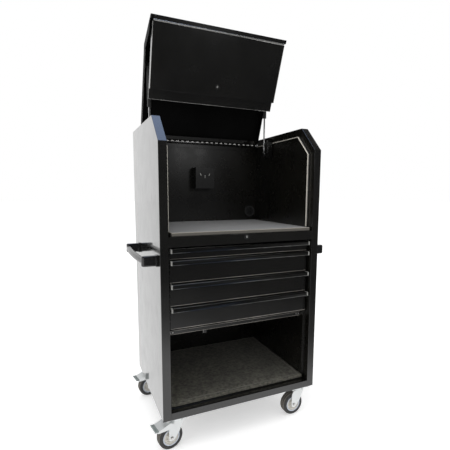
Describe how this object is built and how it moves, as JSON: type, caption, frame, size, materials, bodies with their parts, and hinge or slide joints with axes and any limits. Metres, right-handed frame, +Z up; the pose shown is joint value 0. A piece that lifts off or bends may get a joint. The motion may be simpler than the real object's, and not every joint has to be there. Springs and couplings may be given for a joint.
{
  "type": "diagnostic workstation cart",
  "caption": "Tall rolling diagnostic workstation cabinet with drawers, an open lower bay, a padded work surface and a bi-fold lid raised on gas struts",
  "frame": {"origin": "on the floor under the middle of the cabinet's footprint", "axes": "+Z up, the front faces -Y, +X to the right as seen from the front"},
  "size_m": [0.824, 0.5232, 1.6839],
  "materials": {
    "black_paint": "gloss",
    "strut_paint": "satin",
    "mat_rubber": "matte",
    "seal_foam": "matte",
    "zinc_steel": "satin",
    "black_plastic": "gloss",
    "grip_plastic": "gloss",
    "pull_aluminium": "anodised",
    "chrome_rod": "polished",
    "rim_plastic": "satin",
    "tyre_rubber": "matte"
  },
  "bodies": {
    "cabinet": {"left_side_shell": "black_paint", "right_side_shell": "black_paint", "left_inner_liner": "black_paint", "right_inner_liner": "black_paint", "opening_seals": "seal_foam", "back_panel": "black_paint", "hinge_rail": "black_paint", "base_pan": "black_paint", "caster_channels": "black_paint", "top_rail": "black_paint", "worktop_deck": "black_paint", "work_mat": "mat_rubber", "lower_mat": "mat_rubber", "divider_shelf": "black_paint", "cabinet_runners": "zinc_steel", "outlet_box": "black_paint", "outlet_plate": "black_plastic", "cable_grommet": "black_plastic", "handle_posts": "black_plastic", "handle_grips": "grip_plastic", "caster_plates": "zinc_steel", "lid_hinge_cabinet_leaf": "zinc_steel", "lid_hinge_pin": "zinc_steel", "strut_wall_brackets": "black_paint"},
    "lid": {"lid_shell": "black_paint", "lid_strut_brackets": "black_paint", "lid_hinge_lid_leaf": "zinc_steel", "door_hinge_nose_leaf": "zinc_steel", "door_hinge_pin": "zinc_steel"},
    "door": {"door_panel": "black_paint", "door_back_plate": "black_paint", "door_hinge_door_leaf": "zinc_steel"},
    "door_lock": {"door_lock_plug": "chrome_rod"},
    "drawer_lock": {"drawer_lock_plug": "chrome_rod"},
    "drawer_1": {"drawer_1_box": "black_paint", "drawer_1_pull": "pull_aluminium"},
    "drawer_2": {"drawer_2_box": "black_paint", "drawer_2_pull": "pull_aluminium"},
    "drawer_3": {"drawer_3_box": "black_paint", "drawer_3_pull": "pull_aluminium"},
    "drawer_4": {"drawer_4_box": "black_paint", "drawer_4_pull": "pull_aluminium"},
    "left_strut_lower": {"left_strut_rod": "chrome_rod"},
    "left_strut_upper": {"left_strut_tube": "strut_paint"},
    "right_strut_lower": {"right_strut_rod": "chrome_rod"},
    "right_strut_upper": {"right_strut_tube": "strut_paint"},
    "front_left_swivel": {"front_left_caster_fork": "zinc_steel"},
    "front_left_wheel": {"front_left_caster_rim": "rim_plastic", "front_left_caster_tyre": "tyre_rubber"},
    "front_left_brake": {"front_left_brake_pedal": "zinc_steel"},
    "front_right_swivel": {"front_right_caster_fork": "zinc_steel"},
    "front_right_wheel": {"front_right_caster_rim": "rim_plastic", "front_right_caster_tyre": "tyre_rubber"},
    "rear_left_swivel": {"rear_left_caster_fork": "zinc_steel"},
    "rear_left_wheel": {"rear_left_caster_rim": "rim_plastic", "rear_left_caster_tyre": "tyre_rubber"},
    "rear_left_brake": {"rear_left_brake_pedal": "zinc_steel"},
    "rear_right_swivel": {"rear_right_caster_fork": "zinc_steel"},
    "rear_right_wheel": {"rear_right_caster_rim": "rim_plastic", "rear_right_caster_tyre": "tyre_rubber"}
  },
  "joints": [
    {"name": "lid_hinge", "type": "hinge", "parent": "cabinet", "child": "lid", "pos_m": [0, 0.24, 1.245], "axis": [1, 0, 0], "range_deg": [0, 69.3], "stiffness_Nm_per_rad": 22, "springref_deg": -68.75},
    {"name": "door_hinge", "type": "hinge", "parent": "lid", "child": "door", "pos_m": [0, -0.02, 1.66148], "axis": [-1, 0, 0], "range_deg": [0, 90]},
    {"name": "door_lock_turn", "type": "hinge", "parent": "door", "child": "door_lock", "pos_m": [0, 0.05534, 1.46493], "axis": [0, -0.9354, -0.3535], "range_deg": [0, 90]},
    {"name": "drawer_lock_turn", "type": "hinge", "parent": "cabinet", "child": "drawer_lock", "pos_m": [0, -0.25, 0.8275], "axis": [0, -1, 0], "range_deg": [0, 90]},
    {"name": "drawer_1_slide", "type": "slide", "parent": "cabinet", "child": "drawer_1", "axis": [0, -1, 0], "range_m": [0, 0.38]},
    {"name": "drawer_2_slide", "type": "slide", "parent": "cabinet", "child": "drawer_2", "axis": [0, -1, 0], "range_m": [0, 0.38]},
    {"name": "drawer_3_slide", "type": "slide", "parent": "cabinet", "child": "drawer_3", "axis": [0, -1, 0], "range_m": [0, 0.38]},
    {"name": "drawer_4_slide", "type": "slide", "parent": "cabinet", "child": "drawer_4", "axis": [0, -1, 0], "range_m": [0, 0.38]},
    {"name": "left_strut_pivot", "type": "hinge", "parent": "cabinet", "child": "left_strut_lower", "pos_m": [-0.288, 0.13508, 1.19], "axis": [1, 0, 0], "range_deg": [0, 73.6]},
    {"name": "left_strut_slide", "type": "slide", "parent": "left_strut_lower", "child": "left_strut_upper", "axis": [0, 0, 1], "range_m": [-0.1332, 0]},
    {"name": "right_strut_pivot", "type": "hinge", "parent": "cabinet", "child": "right_strut_lower", "pos_m": [0.288, 0.13508, 1.19], "axis": [1, 0, 0], "range_deg": [0, 73.6]},
    {"name": "right_strut_slide", "type": "slide", "parent": "right_strut_lower", "child": "right_strut_upper", "axis": [0, 0, 1], "range_m": [-0.1332, 0]},
    {"name": "front_left_swivel_turn", "type": "hinge", "parent": "cabinet", "child": "front_left_swivel", "pos_m": [-0.284, -0.206, 0.115], "axis": [0, 0, 1], "continuous": true},
    {"name": "front_left_wheel_spin", "type": "hinge", "parent": "front_left_swivel", "child": "front_left_wheel", "pos_m": [-0.30916, -0.21016, 0.05], "axis": [0.1633, -0.9866, 0], "continuous": true},
    {"name": "front_left_brake_press", "type": "hinge", "parent": "front_left_swivel", "child": "front_left_brake", "pos_m": [-0.30768, -0.20992, 0.103], "axis": [0.1633, -0.9866, 0], "range_deg": [0, 12]},
    {"name": "front_right_swivel_turn", "type": "hinge", "parent": "cabinet", "child": "front_right_swivel", "pos_m": [0.284, -0.206, 0.115], "axis": [0, 0, 1], "continuous": true},
    {"name": "front_right_wheel_spin", "type": "hinge", "parent": "front_right_swivel", "child": "front_right_wheel", "pos_m": [0.25851, -0.2068, 0.05], "axis": [0.0314, -0.9995, 0], "continuous": true},
    {"name": "rear_left_swivel_turn", "type": "hinge", "parent": "cabinet", "child": "rear_left_swivel", "pos_m": [-0.284, 0.206, 0.115], "axis": [0, 0, 1], "continuous": true},
    {"name": "rear_left_wheel_spin", "type": "hinge", "parent": "rear_left_swivel", "child": "rear_left_wheel", "pos_m": [-0.30911, 0.20153, 0.05], "axis": [0.1754, -0.9845, 0], "continuous": true},
    {"name": "rear_left_brake_press", "type": "hinge", "parent": "rear_left_swivel", "child": "rear_left_brake", "pos_m": [-0.30763, 0.20179, 0.103], "axis": [0.1754, -0.9845, 0], "range_deg": [0, 12]},
    {"name": "rear_right_swivel_turn", "type": "hinge", "parent": "cabinet", "child": "rear_right_swivel", "pos_m": [0.284, 0.206, 0.115], "axis": [0, 0, 1], "continuous": true},
    {"name": "rear_right_wheel_spin", "type": "hinge", "parent": "rear_right_swivel", "child": "rear_right_wheel", "pos_m": [0.25864, 0.20333, 0.05], "axis": [0.1045, -0.9945, 0], "continuous": true}
  ],
  "couplings": [
    {"joint": "left_strut_pivot", "follows": "lid_hinge", "ratio": 1.061},
    {"joint": "left_strut_slide", "follows": "lid_hinge", "m_per_rad": -0.11005},
    {"joint": "right_strut_pivot", "follows": "lid_hinge", "ratio": 1.061},
    {"joint": "right_strut_slide", "follows": "lid_hinge", "m_per_rad": -0.11005}
  ]
}
